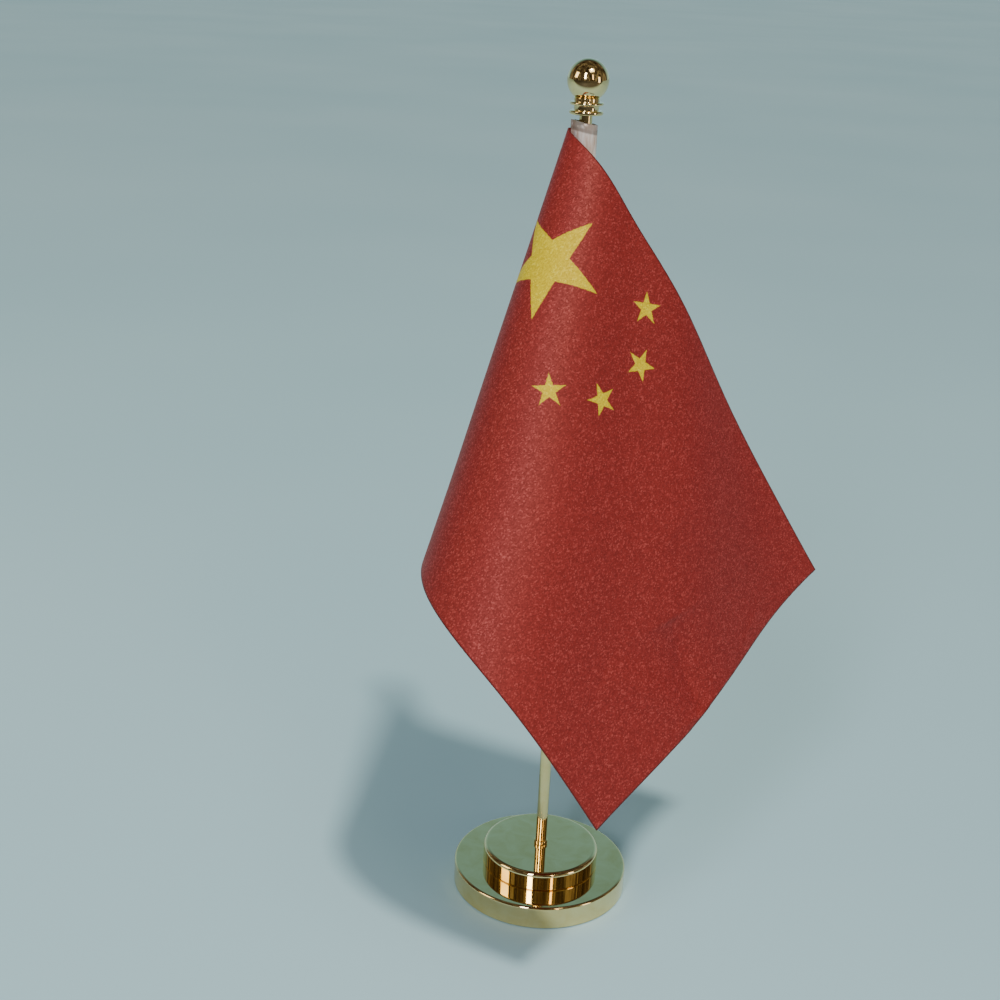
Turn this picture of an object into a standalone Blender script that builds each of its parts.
"""Desk flag stand: a gold plated pole on a weighted two-tier round base, with a
turned ball finial and a printed satin flag hung from a clear film sleeve.

Units are metres, +Z is up, and the origin is on the pole's axis at the desk.
"""
import math

import bmesh
import bpy
from mathutils import Matrix, Vector

# ---------------------------------------------------------------- driving sizes
CLEARANCE = 0.0003            # gap between pieces that touch or screw together

BASE_DIAMETER = 0.070         # wide lower tier
BASE_TOP = 0.0096             # height of the lower tier's top face
BASE_EDGE_ROUND = 0.0010
SHELL_FOOT = 0.0004           # the shell's rim stands this far above the desk
PAD_THICKNESS = 0.0012

DRUM_DIAMETER = 0.0466        # narrow upper tier
DRUM_HEIGHT = 0.0075
DRUM_EDGE_ROUND = 0.0016
SHELL_WALL = 0.0008           # both tiers are pressed shells over iron weights

BUSH_BODY_DIAMETER = 0.0045
BUSH_HEAD_LAP = 0.0002        # its head, a small ring round the pole's foot, laps
BUSH_HEAD_HEIGHT = 0.0014     # over the edge of the drum's hole
NUT_ACROSS_FLATS = 0.0080
NUT_HEIGHT = 0.0020
WASHER_DIAMETER = 0.0100
WASHER_THICKNESS = 0.0006
SPRING_WASHER_DIAMETER = 0.0082
SPRING_WASHER_THICKNESS = 0.0008
SPRING_WASHER_SPLIT = 0.0006

POLE_DIAMETER = 0.0045
POLE_WALL = 0.0005
POLE_LENGTH = 0.2897
STUD_DIAMETER = 0.0026        # threaded studs at the pole's two ends
STUD_REACH = 0.0070           # how far a stud enters what it screws into
STUD_PRESSED = 0.0100         # how far it is pressed into the tube

FLANGE_DIAMETER = 0.0119      # two thin flanges on the finial's spool
FLANGE_THICKNESS = 0.0011
FLANGE_PITCH = 0.0029
SPOOL_CORE_DIAMETER = 0.0087
NECK_DIAMETER = 0.0090
NECK_HEIGHT = 0.0012          # from the upper flange to the ball
BALL_DIAMETER = 0.0146
FINIAL_BUSH_DIAMETER = 0.0046
FINIAL_BUSH_LENGTH = 0.0090

RING_WALL = 0.00135           # soft ring that carries the sleeve on the pole
RING_HEIGHT = 0.0028
SLEEVE_WALL = 0.00035
SLEEVE_LENGTH = 0.1475
SLEEVE_TOP_GAP = 0.0020       # from the finial down to the film's highest point
SLEEVE_TOP_DROP = 0.0018      # the film's top is cut aslant
SLEEVE_LIP = 0.00075          # how far its two lips stand out of its round part
SLEEVE_HEADING = 194.0        # degrees, the way the lips point

FLAG_MARGIN = 0.00065         # from the lips to where the cloth is free to fold
FLAG_WIDTH = 0.197            # cloth from there to the fly edge
FLAG_HEIGHT = 0.1406
FLAG_THICKNESS = 0.0005
FLAG_TUCK = 0.0013            # cloth on the pole's side of there, in the film
FLAG_BELOW_SLEEVE_TOP = 0.0029

# The cloth hangs in folds that fan out from its top corner. Each row is an angle
# below the top edge in degrees, the bend there (turn of the cloth for one turn of
# the fan), and how fast the fan's centre slides off the corner (metres a radian).
FOLD_FAN = (
    (90.0, 3.4, 0.00),
    (78.0, 2.3, 0.00),
    (66.0, 2.9, 0.05),
    (58.0, 7.0, 0.67),
    (50.0, 8.9, 0.00),
    (42.0, -2.3, 0.00),
    (34.0, 3.7, 0.00),
    (26.0, -2.5, 0.01),
    (2.0, -1.1, 0.01),
)
FOLD_STEP = 0.5               # degrees of the fan between one crease and the next
FLAG_COLUMNS = 36             # cells of the cloth's mesh
FLAG_ROWS = 24

# ------------------------------------------------------- sizes that follow these
STACK_TOP = BASE_TOP + CLEARANCE + DRUM_HEIGHT             # top face of the drum
BUSH_SEAT = STACK_TOP + CLEARANCE
BUSH_TOP = BUSH_SEAT + BUSH_HEAD_HEIGHT
BUSH_HOLE = BUSH_BODY_DIAMETER / 2 + CLEARANCE            # radius of its holes
BUSH_HEAD_RADIUS = BUSH_HOLE + BUSH_HEAD_LAP
POLE_FOOT = BUSH_TOP + CLEARANCE
POLE_TOP = POLE_FOOT + POLE_LENGTH
SPOOL_BOTTOM = POLE_TOP + CLEARANCE
UPPER_FLANGE = SPOOL_BOTTOM + FLANGE_PITCH
NECK_TOP = UPPER_FLANGE + FLANGE_THICKNESS + NECK_HEIGHT
FINIAL_BUSH_HOLE = FINIAL_BUSH_DIAMETER / 2 + CLEARANCE
FINIAL_BUSH_TOP = SPOOL_BOTTOM + FINIAL_BUSH_LENGTH
STUD_BORE = STUD_DIAMETER / 2 + CLEARANCE
PIN_RADIUS = POLE_DIAMETER / 2 - POLE_WALL - CLEARANCE
SLEEVE_TOP = SPOOL_BOTTOM - SLEEVE_TOP_GAP
RING_HOLE = POLE_DIAMETER / 2 + CLEARANCE
RING_RADIUS = RING_HOLE + RING_WALL
SLEEVE_RADIUS = RING_RADIUS + CLEARANCE + SLEEVE_WALL / 2
SLEEVE_REACH = SLEEVE_RADIUS + SLEEVE_LIP                 # out to the lips' edges
FLAG_START = SLEEVE_REACH + FLAG_MARGIN
RING_TOP = SLEEVE_TOP - SLEEVE_TOP_DROP - CLEARANCE
HOIST_TOP = SLEEVE_TOP - FLAG_BELOW_SLEEVE_TOP
HEADING = Vector((math.cos(math.radians(SLEEVE_HEADING)),
                  math.sin(math.radians(SLEEVE_HEADING)), 0.0))

for old in list(bpy.data.objects):
    bpy.data.objects.remove(old, do_unlink=True)

PARTS = bpy.data.collections.new("desk_flag_stand")
CUTTERS = bpy.data.collections.new("cutters")
bpy.context.scene.collection.children.link(PARTS)
bpy.context.scene.collection.children.link(CUTTERS)


# --------------------------------------------------------------------- finishes
def finish(name, colour, roughness, metallic=0.0):
    made = bpy.data.materials.new(name)
    made.use_nodes = True
    shader = made.node_tree.nodes["Principled BSDF"]
    shader.inputs["Base Color"].default_value = (*colour, 1.0)
    shader.inputs["Roughness"].default_value = roughness
    shader.inputs["Metallic"].default_value = metallic
    return made


GOLD = finish("gold_plate", (0.80, 0.58, 0.24), 0.08, 1.0)
STEEL = finish("zinc_plated_steel", (0.56, 0.57, 0.58), 0.35, 1.0)
IRON = finish("cast_iron", (0.12, 0.12, 0.12), 0.65, 1.0)
FOAM = finish("black_foam", (0.02, 0.02, 0.02), 0.9)
FILM = finish("milky_film", (0.62, 0.60, 0.57), 0.35)
SILICONE = finish("clear_silicone", (0.55, 0.53, 0.50), 0.4)
SATIN = finish("red_satin", (0.50, 0.03, 0.03), 0.5)


# ---------------------------------------------------------------------- helpers
def add_piece(name, mesh, material):
    piece = bpy.data.objects.new(name, mesh)
    PARTS.objects.link(piece)
    mesh.materials.append(material)
    return piece


def rounded(x, z, radius, start, end, steps):
    """Points of a round edge: an arc about (x, z), with its angles in degrees."""
    points = []
    for step in range(steps + 1):
        angle = math.radians(start + (end - start) * step / steps)
        points.append((x + radius * math.cos(angle), z + radius * math.sin(angle)))
    return points


def turned(name, outline, material, steps):
    """A turned piece. The outline, as (radius, height), runs down its outer side.
    It closes on itself, unless it starts and ends on the axis."""
    edges = [(i, i + 1) for i in range(len(outline) - 1)]
    if outline[0][0] > 0.0:
        edges.append((len(outline) - 1, 0))
    mesh = bpy.data.meshes.new(name)
    mesh.from_pydata([(radius, 0.0, height) for radius, height in outline], edges, [])
    piece = add_piece(name, mesh, material)
    screw = piece.modifiers.new("Turn", "SCREW")
    screw.steps = steps
    screw.render_steps = steps
    screw.use_smooth_shade = True
    screw.use_merge_vertices = True
    screw.merge_threshold = 0.00001
    return piece


def solid_rod(radius, bottom, top):
    return [(0.0, top), (radius, top), (radius, bottom), (0.0, bottom)]


def plain_ring(outer, inner, bottom, top):
    return [(outer, top), (outer, bottom), (inner, bottom), (inner, top)]


def cut(piece, cutter):
    cutter.hide_render = True
    cutter.display_type = "WIRE"
    boolean = piece.modifiers.new("Cut", "BOOLEAN")
    boolean.operation = "DIFFERENCE"
    boolean.object = cutter


def cutter_from(name, shape):
    mesh = bpy.data.meshes.new(name)
    shape.to_mesh(mesh)
    shape.free()
    cutter = bpy.data.objects.new(name, mesh)
    CUTTERS.objects.link(cutter)
    return cutter


# --------------------------------------------------------------------- the base
def make_base_tier():
    """Pressed shell over an iron weight, with a foam pad glued underneath. The
    weight has a pocket below for the nut and washers; its roof is returned."""
    radius = BASE_DIAMETER / 2
    inside = radius - SHELL_WALL
    ceiling = BASE_TOP - SHELL_WALL
    edge = BASE_EDGE_ROUND
    shell = rounded(radius - edge, BASE_TOP - edge, edge, 90, 0, 4)
    shell += [(radius, SHELL_FOOT), (inside, SHELL_FOOT), (inside, ceiling)]
    shell += [(BUSH_HOLE, ceiling), (BUSH_HOLE, BASE_TOP)]
    turned("base_shell", shell, GOLD, 64)

    fitted = inside - CLEARANCE
    turned("bottom_pad", solid_rod(fitted, 0.0, PAD_THICKNESS), FOAM, 48)

    pocket = NUT_ACROSS_FLATS / math.sqrt(3) + 4 * CLEARANCE
    pocket = max(pocket, WASHER_DIAMETER / 2 + CLEARANCE)
    low = PAD_THICKNESS + CLEARANCE
    high = ceiling - CLEARANCE
    fixings = NUT_HEIGHT + SPRING_WASHER_THICKNESS + WASHER_THICKNESS
    roof = low + fixings + 4 * CLEARANCE
    weight = [(fitted, high), (fitted, low), (pocket, low), (pocket, roof)]
    weight += [(BUSH_HOLE, roof), (BUSH_HOLE, high)]
    turned("base_weight", weight, IRON, 48)
    return roof


def make_fixings(roof):
    """Flat washer, split spring washer and nut, from the pocket's roof down. The
    nut's lower face is returned."""
    top = roof - CLEARANCE
    bottom = top - WASHER_THICKNESS
    washer = plain_ring(WASHER_DIAMETER / 2, BUSH_HOLE, bottom, top)
    turned("flat_washer", washer, STEEL, 32)

    top = bottom - CLEARANCE
    bottom = top - SPRING_WASHER_THICKNESS
    washer = plain_ring(SPRING_WASHER_DIAMETER / 2, BUSH_HOLE, bottom, top)
    spring_washer = turned("spring_washer", washer, STEEL, 32)
    split = bmesh.new()
    bmesh.ops.create_cube(split, size=1.0)
    size = (SPRING_WASHER_SPLIT, SPRING_WASHER_DIAMETER, 4 * SPRING_WASHER_THICKNESS)
    bmesh.ops.scale(split, vec=size, verts=split.verts)
    middle = (0.0, SPRING_WASHER_DIAMETER / 2, (top + bottom) / 2)
    bmesh.ops.translate(split, vec=middle, verts=split.verts)
    cut(spring_washer, cutter_from("spring_washer_split", split))

    top = bottom - CLEARANCE
    bottom = top - NUT_HEIGHT
    corner = NUT_ACROSS_FLATS / math.sqrt(3)
    shape = bmesh.new()
    bmesh.ops.create_cone(shape, cap_ends=True, segments=6, radius1=corner,
                          radius2=corner, depth=NUT_HEIGHT)
    bmesh.ops.translate(shape, vec=(0.0, 0.0, (top + bottom) / 2), verts=shape.verts)
    mesh = bpy.data.meshes.new("clamp_nut")
    shape.to_mesh(mesh)
    shape.free()
    nut = add_piece("clamp_nut", mesh, STEEL)
    bore = bmesh.new()
    bmesh.ops.create_cone(bore, cap_ends=True, segments=32, radius1=BUSH_HOLE,
                          radius2=BUSH_HOLE, depth=3 * NUT_HEIGHT)
    bmesh.ops.translate(bore, vec=(0.0, 0.0, (top + bottom) / 2), verts=bore.verts)
    cut(nut, cutter_from("clamp_nut_bore", bore))
    return bottom


def make_drum():
    """Pressed cup over a second weight. Its well rounded upper edge is the draw
    radius of the pressing, and its rim stands on the lower tier."""
    radius = DRUM_DIAMETER / 2
    inside = radius - SHELL_WALL
    bottom = BASE_TOP + CLEARANCE
    ceiling = STACK_TOP - SHELL_WALL
    outer = DRUM_EDGE_ROUND
    inner = max(outer - SHELL_WALL, CLEARANCE)
    shell = rounded(radius - outer, STACK_TOP - outer, outer, 90, 0, 6)
    shell += [(radius, bottom), (inside, bottom)]
    shell += rounded(inside - inner, ceiling - inner, inner, 0, 90, 3)
    shell += [(BUSH_HOLE, ceiling), (BUSH_HOLE, STACK_TOP)]
    turned("drum_shell", shell, GOLD, 48)

    fitted = inside - CLEARANCE
    high = ceiling - CLEARANCE
    weight = rounded(fitted - inner, high - inner, inner, 90, 0, 3)
    weight += [(fitted, bottom), (BUSH_HOLE, bottom), (BUSH_HOLE, high)]
    turned("drum_weight", weight, IRON, 48)


def make_base_bush(lowest):
    """Hollow threaded bush. Its small head shows as a ring round the pole's foot,
    and its body runs down through the base to the nut."""
    head = BUSH_HEAD_RADIUS
    body = BUSH_BODY_DIAMETER / 2
    edge = BUSH_HEAD_HEIGHT / 4
    outline = rounded(head - edge, BUSH_TOP - edge, edge, 90, 0, 2)
    outline += [(head, BUSH_SEAT), (body, BUSH_SEAT), (body, lowest)]
    outline += [(STUD_BORE, lowest), (STUD_BORE, BUSH_TOP)]
    turned("base_bush", outline, GOLD, 32)


# --------------------------------------------------------------------- the pole
def make_pole():
    """A thin tube with a stud pressed into each end."""
    outer = POLE_DIAMETER / 2
    tube = plain_ring(outer, outer - POLE_WALL, POLE_FOOT, POLE_TOP)
    turned("pole_tube", tube, GOLD, 32)
    stud = STUD_DIAMETER / 2
    foot = [(0.0, POLE_FOOT + STUD_PRESSED), (PIN_RADIUS, POLE_FOOT + STUD_PRESSED)]
    foot += [(PIN_RADIUS, POLE_FOOT), (stud, POLE_FOOT)]
    foot += [(stud, POLE_FOOT - STUD_REACH), (0.0, POLE_FOOT - STUD_REACH)]
    turned("pole_foot_stud", foot, STEEL, 24)
    top = [(0.0, POLE_TOP + STUD_REACH), (stud, POLE_TOP + STUD_REACH)]
    top += [(stud, POLE_TOP), (PIN_RADIUS, POLE_TOP)]
    top += [(PIN_RADIUS, POLE_TOP - STUD_PRESSED), (0.0, POLE_TOP - STUD_PRESSED)]
    turned("pole_top_stud", top, STEEL, 24)


# ------------------------------------------------------------------- the finial
def make_finial():
    """Spool with two thin flanges and a neck, a ball with a flat seat on the neck,
    and a threaded bush that joins them and takes the pole's stud."""
    core = SPOOL_CORE_DIAMETER / 2
    neck = NECK_DIAMETER / 2
    edge = FLANGE_THICKNESS / 2
    rim = FLANGE_DIAMETER / 2 - edge
    spool = [(neck, NECK_TOP), (neck, UPPER_FLANGE + FLANGE_THICKNESS)]
    spool += rounded(rim, UPPER_FLANGE + edge, edge, 90, -90, 4)
    spool += [(core, UPPER_FLANGE), (core, SPOOL_BOTTOM + FLANGE_THICKNESS)]
    spool += rounded(rim, SPOOL_BOTTOM + edge, edge, 90, -90, 4)
    spool += [(FINIAL_BUSH_HOLE, SPOOL_BOTTOM), (FINIAL_BUSH_HOLE, NECK_TOP)]
    turned("finial_spool", spool, GOLD, 40)

    bush = plain_ring(FINIAL_BUSH_DIAMETER / 2, STUD_BORE, SPOOL_BOTTOM, FINIAL_BUSH_TOP)
    turned("finial_bush", bush, STEEL, 32)

    radius = BALL_DIAMETER / 2
    flat = NECK_TOP + CLEARANCE
    middle = flat + math.sqrt(radius ** 2 - neck ** 2)
    flat_angle = -math.degrees(math.acos(neck / radius))
    hole_top = FINIAL_BUSH_TOP + CLEARANCE
    ball = rounded(0.0, middle, radius, 90, flat_angle, 18)
    ball[0] = (0.0, middle + radius)
    ball += [(FINIAL_BUSH_HOLE, flat), (FINIAL_BUSH_HOLE, hole_top), (0.0, hole_top)]
    turned("finial_ball", ball, GOLD, 36)


# --------------------------------------------------------------------- the flag
def make_sleeve():
    """Soft ring on the pole, and the film that is folded round it. The film's two
    edges lie side by side, with room for the cloth between them."""
    soft = plain_ring(RING_RADIUS, RING_HOLE, RING_TOP - RING_HEIGHT, RING_TOP)
    turned("grip_ring", soft, SILICONE, 32)

    side = Vector((-HEADING.y, HEADING.x, 0.0))
    half_gap = FLAG_THICKNESS / 2 + CLEARANCE + SLEEVE_WALL / 2
    path = [(SLEEVE_REACH, half_gap), (SLEEVE_RADIUS, half_gap)]
    path += rounded(0.0, 0.0, SLEEVE_RADIUS, 24, 336, 26)
    path += [(SLEEVE_RADIUS, -half_gap), (SLEEVE_REACH, -half_gap)]
    bottom = SLEEVE_TOP - SLEEVE_LENGTH
    fall = SLEEVE_TOP_DROP / (SLEEVE_REACH + SLEEVE_RADIUS)
    shape = bmesh.new()
    lower = [shape.verts.new(HEADING * out + side * across + Vector((0, 0, bottom)))
             for out, across in path]
    edges = [shape.edges.new(pair) for pair in zip(lower, lower[1:])]
    grown = bmesh.ops.extrude_edge_only(shape, edges=edges)
    for vert in grown["geom"]:
        if isinstance(vert, bmesh.types.BMVert):
            out = vert.co.dot(HEADING)
            vert.co.z = SLEEVE_TOP - fall * (SLEEVE_REACH - out)
    bmesh.ops.recalc_face_normals(shape, faces=shape.faces)
    mesh = bpy.data.meshes.new("flag_sleeve")
    shape.to_mesh(mesh)
    shape.free()
    sleeve = add_piece("flag_sleeve", mesh, FILM)
    wall = sleeve.modifiers.new("Wall", "SOLIDIFY")
    wall.thickness = SLEEVE_WALL
    wall.offset = 0.0


def fan_value(angle, column):
    """One column of FOLD_FAN at an angle between two of its rows."""
    for above, below in zip(FOLD_FAN, FOLD_FAN[1:]):
        if angle >= below[0]:
            share = (above[0] - angle) / (above[0] - below[0])
            return above[column] + share * (below[column] - above[column])
    return FOLD_FAN[-1][column]


def make_creases():
    """The flat cloth, x along its top edge and y down its hoist, is bent a little
    at each of many straight creases, as paper is. Returns the place in space of
    the cloth at the hoist, and for each crease (a point on it, its direction, the
    place in space of the cloth beyond it)."""
    down = Vector((0.0, 0.0, -1.0))
    place = Matrix((HEADING, down, HEADING.cross(down))).transposed().to_4x4()
    start = HEADING * FLAG_START + Vector((0.0, 0.0, HOIST_TOP))
    place = Matrix.Translation(start) @ place
    hoist = place
    centre = Vector((0.0, 0.0, 0.0))
    creases = []
    step = math.radians(FOLD_STEP)
    for number in range(int((FOLD_FAN[0][0] - FOLD_FAN[-1][0]) / FOLD_STEP)):
        angle = FOLD_FAN[0][0] - number * FOLD_STEP
        along = Vector((math.cos(math.radians(angle)), math.sin(math.radians(angle)), 0.0))
        centre = centre - along * fan_value(angle, 2) * step
        bend = Matrix.Rotation(-fan_value(angle, 1) * step, 4, along)
        place = place @ Matrix.Translation(centre) @ bend @ Matrix.Translation(-centre)
        creases.append((centre, along, place))
    return hoist, creases


def hang(across, down, hoist, creases):
    """Where a point of the flat cloth lies when the cloth hangs."""
    spot = Vector((across, down, 0.0))
    flat = hoist
    for centre, along, place in creases:
        if (spot - centre).cross(along).z <= 0.0:
            break
        flat = place
    return flat @ spot


def make_flag():
    hoist, creases = make_creases()
    columns = [-FLAG_TUCK, 0.0]
    columns += [FLAG_WIDTH * (step / FLAG_COLUMNS) ** 1.2
                for step in range(1, FLAG_COLUMNS + 1)]
    rows = [FLAG_HEIGHT * step / FLAG_ROWS for step in range(FLAG_ROWS + 1)]
    spots = [hang(across, down, hoist, creases) for down in rows for across in columns]
    width = len(columns)
    faces = []
    for row in range(FLAG_ROWS):
        for column in range(width - 1):
            first = row * width + column
            faces.append((first, first + width, first + width + 1, first + 1))
    mesh = bpy.data.meshes.new("flag_cloth")
    mesh.from_pydata(spots, [], faces)
    cloth = add_piece("flag_cloth", mesh, SATIN)
    body = cloth.modifiers.new("Body", "SOLIDIFY")
    body.thickness = FLAG_THICKNESS
    body.offset = 0.0


make_drum()
make_base_bush(make_fixings(make_base_tier()))
make_pole()
make_finial()
make_sleeve()
make_flag()
